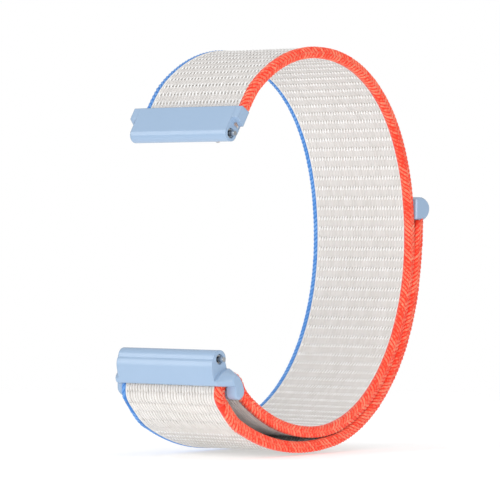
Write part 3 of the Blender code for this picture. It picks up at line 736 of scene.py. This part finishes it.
braid = {
    "pitch": 0.00078,
    "slope": 0.80,
    "strandHalfWidth": 0.00028,
    "strandHeight": 0.00012,
    "coreInset": 0.00008,
    "crossing": 0.00012,
    "armSetback": 0.0010,
    "firstStrand": 0.0024,
    "stagger": 0.30,
    "loopRadius": 0.028,
    "stations": 8,
    "sink": 0.00002,
    "leastSwell": 0.15,
    "swellFrom": 0.12,
    "swellRate": 0.94,
    "leanJitter": 0.03,
    "seed": 5,
}


def edgeOutline(inset):
    # Half of the binding's outline, from the middle of its side to its seam on one face
    rounding = band["edgeRounding"]
    outside = band["halfWidth"] - inset
    top = band["bindingHalf"] - inset
    points = [(outside, 0.0)]
    for step in range(band["roundingSteps"] + 1):
        angle = math.pi / 2 * step / band["roundingSteps"]
        points.append((
            outside - rounding + math.cos(angle) * rounding,
            top - rounding + math.sin(angle) * rounding,
        ))
    points.append((band["halfWidth"] - band["edgeWidth"], top))
    return points


def alongOutline(points, distance):
    # Place and outward normal at a distance along the outline
    left = distance
    for before, after in zip(points, points[1:]):
        step = Vector(after) - Vector(before)
        if left <= step.length or after == points[-1]:
            unit = step.normalized()
            return Vector(before) + unit * left, Vector((unit.y, -unit.x))
        left -= step.length


def braidStrand(name, slantSign, bendRadius=None, single=False):
    # One V: two strands that start just past the middle of the side and run back to the seams
    outline = edgeOutline(braid["coreInset"])
    reach = sum((Vector(b) - Vector(a)).length for a, b in zip(outline, outline[1:]))
    bm = bmesh.new()
    joined = bpy.data.meshes.new(name + "Joined")
    for level in (1, -1):
        stations = []
        shift = braid["stagger"] * braid["pitch"] if level < 0 else 0.0
        for number in range(braid["stations"]):
            share = number / (braid["stations"] - 1)
            distance = -braid["crossing"] + (reach + braid["crossing"]) * share
            inside = max(distance, 0.0)
            place, normal = alongOutline(outline, inside)
            x = place.x - band["halfWidth"]
            z = place.y * level if distance >= 0 else distance * level
            slant = level if single else 1
            y = -slantSign * braid["slope"] * distance * slant + shift
            flow = Vector((0.0, 1.0, 0.0))
            phase = min(1.0, braid["swellFrom"] + share * braid["swellRate"])
            swell = max(braid["leastSwell"], math.sin(math.pi * phase) ** 0.5)
            stations.append((
                Vector((x, y, z)), flow, Vector((normal.x, 0.0, normal.y * level)),
                braid["strandHalfWidth"], braid["strandHeight"] * swell, braid["sink"],
            ))
        part = yarnMesh(stations)
        part.to_mesh(joined)
        part.free()
        bm.from_mesh(joined)
    return finishYarn(name, bm, bendRadius)


def mirrorX(item, name):
    bm = bmesh.new()
    bm.from_mesh(item.data)
    bmesh.ops.transform(bm, matrix=Matrix.Diagonal((-1, 1, 1, 1)), verts=bm.verts)
    return finishYarn(name, bm)


strands = {
    "main": braidStrand("mainStrand", 1, -braid["loopRadius"]),
    "fold": braidStrand("foldStrand", 1, fold["radius"]),
    "tail": braidStrand("tailStrand", 1, braid["loopRadius"], single=True),
}
for colour, side in (("coral", 1), ("blue", -1)):
    strandMaterial, coreMaterial = edgeMaterials[colour]
    outline = edgeOutline(braid["coreInset"])
    core = [(x, out) for x, out in reversed(outline)] + [(x, -out) for x, out in outline[1:]]
    core = [(side * x, out) for x, out in core]
    for name, run in runs.items():
        start = braid["armSetback"] if name == "main" else 0.0
        reach = run.length - (tail["tabFoot"] if name == "tail" else 0.0) - start
        bm = bmesh.new()
        sweptStrip(bm, run, core, edgeSteps[name], start, start + reach)
        piece = meshObject(f"{name}{colour.title()}Core", bm, coreMaterial)
        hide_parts(f"{name}_{colour}_edge")
        placeOn(piece, name)
        strand = strands[name] if side > 0 else mirrorX(strands[name], f"{name}StrandBlue")
        first = braid["firstStrand"] if name == "main" else 0.0
        braided = start + reach - first
        count = round(braided / braid["pitch"])
        seats = []
        for number in range(count):
            place, heading, out = run.at(first + braided * (number + 0.5) / count)
            seats.append(((side * band["halfWidth"], *place), (0.0, *out), (0.0, *heading), 1.0))
        plaited = scatterYarns(
            f"{name}{colour.title()}Braid", seats, strand, strandMaterial,
            leanJitter=braid["leanJitter"], seed=braid["seed"],
        )
        placeOn(plaited, name)
        print(f"{plaited.name}: {len(plaited.data.polygons)} faces")


for item in unitYarns:
    bpy.data.objects.remove(item)


# Pale selvedge yarns in the seams

selvedge = {"radius": 0.00018, "sides": 8, "inset": 0.00010}
for name, run in runs.items():
    bm = bmesh.new()
    for side in (1, -1):
        for face in (1, -1):
            x = side * fabricHalf
            out = face * (band["fabricHalf"] - selvedge["inset"])
            section = []
            for corner in range(selvedge["sides"]):
                angle = 2 * math.pi * corner / selvedge["sides"]
                across = math.cos(angle) * selvedge["radius"]
                outward = math.sin(angle) * selvedge["radius"]
                section.append((x + across, out + outward))
            sweptStrip(bm, run, section, edgeSteps[name])
    piece = meshObject(name + "Selvedge", bm, selvedgeYarn)
    placeOn(piece, name)
print("selvedges made")


# Moulded plastic: satin, pale blue, with the faint texture of a polished mould
plasticLook = {
    "colour": "#A2BBD7",
    "shade": "#9CB6D3",
    "roughness": 0.24,
    "cloud": 160.0,  # clouds of about 6 mm
    "cloudDetail": 3.0,
    "grain": 2600.0,  # grain of about 0.4 mm, drawn coarse so that it shows
    "grainDetail": 2.0,
    "bump": 0.06,
    "bumpDepth": 0.00005,
    "edgeRadius": 0.00024,
}
plastic, tree, shader = newMaterial("paleBlueMouldedPlastic")
place = addNode(tree, "ShaderNodeTexCoord")
cloud = addNode(
    tree, "ShaderNodeTexNoise", None,
    {
        "Vector": place.outputs["Object"],
        "Scale": plasticLook["cloud"],
        "Detail": plasticLook["cloudDetail"],
    },
)
colour = addNode(
    tree, "ShaderNodeMix", {"data_type": "RGBA"},
    {"Factor": cloud.outputs["Fac"], 6: srgb(plasticLook["shade"]), 7: srgb(plasticLook["colour"])},
)
grain = addNode(
    tree, "ShaderNodeTexNoise", None,
    {
        "Vector": place.outputs["Object"],
        "Scale": plasticLook["grain"],
        "Detail": plasticLook["grainDetail"],
    },
)
bump = addNode(
    tree, "ShaderNodeBump", None,
    {"Height": grain.outputs["Fac"], "Strength": plasticLook["bump"], "Distance": plasticLook["bumpDepth"]},
)
softEdge = addNode(tree, "ShaderNodeBevel", {"samples": 6}, {"Radius": plasticLook["edgeRadius"]})
tree.links.new(softEdge.outputs["Normal"], bump.inputs["Normal"])
tree.links.new(colour.outputs[2], shader.inputs["Base Color"])
tree.links.new(bump.outputs["Normal"], shader.inputs["Normal"])
shader.inputs["Roughness"].default_value = plasticLook["roughness"]

# Turned stainless steel: fine rings from the lathe along X
steelLook = {
    "colour": "#C9CBCD",
    "roughness": 0.28,
    "rings": 9000.0,
    "distortion": 0.4,
    "bump": 0.08,
    "bumpDepth": 0.00002,
}
steel, tree, shader = newMaterial("turnedStainlessSteel")
place = addNode(tree, "ShaderNodeTexCoord")
rings = addNode(
    tree, "ShaderNodeTexWave", {"bands_direction": "X"},
    {"Vector": place.outputs["Object"], "Scale": steelLook["rings"], "Distortion": steelLook["distortion"]},
)
bump = addNode(
    tree, "ShaderNodeBump", None,
    {"Height": rings.outputs["Fac"], "Strength": steelLook["bump"], "Distance": steelLook["bumpDepth"]},
)
tree.links.new(bump.outputs["Normal"], shader.inputs["Normal"])
shader.inputs["Base Color"].default_value = srgb(steelLook["colour"])
shader.inputs["Metallic"].default_value = 1.0
shader.inputs["Roughness"].default_value = steelLook["roughness"]

plasticNodes = ("upper_connector", "lower_connector", "end_tab")
for name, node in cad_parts.items():
    material = plastic if name in plasticNodes else steel
    for slot in node.material_slots:
        slot.material = material
print("moulded and turned pieces painted")


# Floor, light and camera

stage = {
    "gap": 0.0004,
    "floorSize": 4.0,
    "floorColour": "#FBFBFB",
    "roughness": 0.9,
    "fadeFrom": 0.06,
    "fadeTo": 0.26,
    "glow": 0.28,
}
bpy.ops.mesh.primitive_plane_add(size=stage["floorSize"], location=(0, 0, cadLow.z - stage["gap"]))
floor = bpy.context.object
floor.name = "floor"
floorMaterial, tree, shader = newMaterial("matteWhiteFloor")
shader.inputs["Base Color"].default_value = srgb(stage["floorColour"])
shader.inputs["Roughness"].default_value = stage["roughness"]
shader.inputs["Specular IOR Level"].default_value = 0.0
shader.inputs["Emission Color"].default_value = srgb("#FFFFFF")
shader.inputs["Emission Strength"].default_value = stage["glow"]
place = addNode(tree, "ShaderNodeTexCoord")
distance = addNode(tree, "ShaderNodeVectorMath", {"operation": "LENGTH"}, {0: place.outputs["Object"]})
fade = addNode(
    tree, "ShaderNodeMapRange", {"interpolation_type": "SMOOTHSTEP"},
    {"Value": distance.outputs["Value"], "From Min": stage["fadeFrom"], "From Max": stage["fadeTo"]},
)
clear = addNode(tree, "ShaderNodeBsdfTransparent")
faded = addNode(
    tree, "ShaderNodeMixShader", None,
    {"Fac": fade.outputs[0], 1: shader.outputs[0], 2: clear.outputs[0]},
)
tree.links.new(faded.outputs[0], tree.nodes["Material Output"].inputs["Surface"])
floor.data.materials.append(floorMaterial)

studio = {"below": 0.24, "above": 0.70}
world = bpy.context.scene.world or bpy.data.worlds.new("studio")
bpy.context.scene.world = world
world.use_nodes = True
tree = world.node_tree
tree.nodes.clear()
path = addNode(tree, "ShaderNodeLightPath")
seen = addNode(
    tree, "ShaderNodeMath", {"operation": "MAXIMUM"},
    {0: path.outputs["Is Camera Ray"], 1: path.outputs["Is Transmission Ray"]},
)
direction = addNode(tree, "ShaderNodeTexCoord")
upward = addNode(tree, "ShaderNodeSeparateXYZ", None, {0: direction.outputs["Generated"]})
graded = addNode(
    tree, "ShaderNodeMapRange", None,
    {"Value": upward.outputs["Z"], "From Min": -1.0, "To Min": studio["below"], "To Max": studio["above"]},
)
lit = addNode(tree, "ShaderNodeBackground", None, {"Color": (1, 1, 1, 1), "Strength": graded.outputs[0]})
white = addNode(tree, "ShaderNodeBackground", None, {"Color": (1, 1, 1, 1), "Strength": 1.0})
chosen = addNode(
    tree, "ShaderNodeMixShader", None,
    {"Fac": seen.outputs[0], 1: lit.outputs[0], 2: white.outputs[0]},
)
addNode(tree, "ShaderNodeOutputWorld", None, {"Surface": chosen.outputs[0]})

lamps = (
    # name, place, width, height, power
    ("keyLight", (-0.50, -0.56, 0.20), 0.30, 0.55, 1.7),
    ("topLight", (0.15, 0.10, 0.80), 0.60, 0.60, 1.1),
    ("fillLight", (0.42, -0.40, -0.03), 0.30, 0.30, 1.6),
)
middle = (cadLow + cadHigh) / 2
for name, place, width, height, power in lamps:
    lamp = bpy.data.lights.new(name, "AREA")
    lamp.shape = "RECTANGLE"
    lamp.size = width
    lamp.size_y = height
    lamp.energy = power
    item = bpy.data.objects.new(name, lamp)
    item.location = place
    item.rotation_euler = (middle - Vector(place)).to_track_quat("-Z", "Y").to_euler()
    bpy.context.scene.collection.objects.link(item)

view = {
    "eye": (0.38671, -0.44359, -0.01451),
    "aim": (-0.00025, 0.01757, -0.01921),
    "lens": 256.75,
    "sensor": 36.0,
    "nearest": 0.01,
}
camera = bpy.data.cameras.new("photoCamera")
camera.lens = view["lens"]
camera.sensor_width = view["sensor"]
camera.clip_start = view["nearest"]
eye = bpy.data.objects.new("photoCamera", camera)
eye.location = view["eye"]
eye.rotation_euler = (Vector(view["aim"]) - Vector(view["eye"])).to_track_quat("-Z", "Y").to_euler()
bpy.context.scene.collection.objects.link(eye)
bpy.context.scene.camera = eye
bpy.context.scene.view_settings.view_transform = "Standard"

print("scene ready")
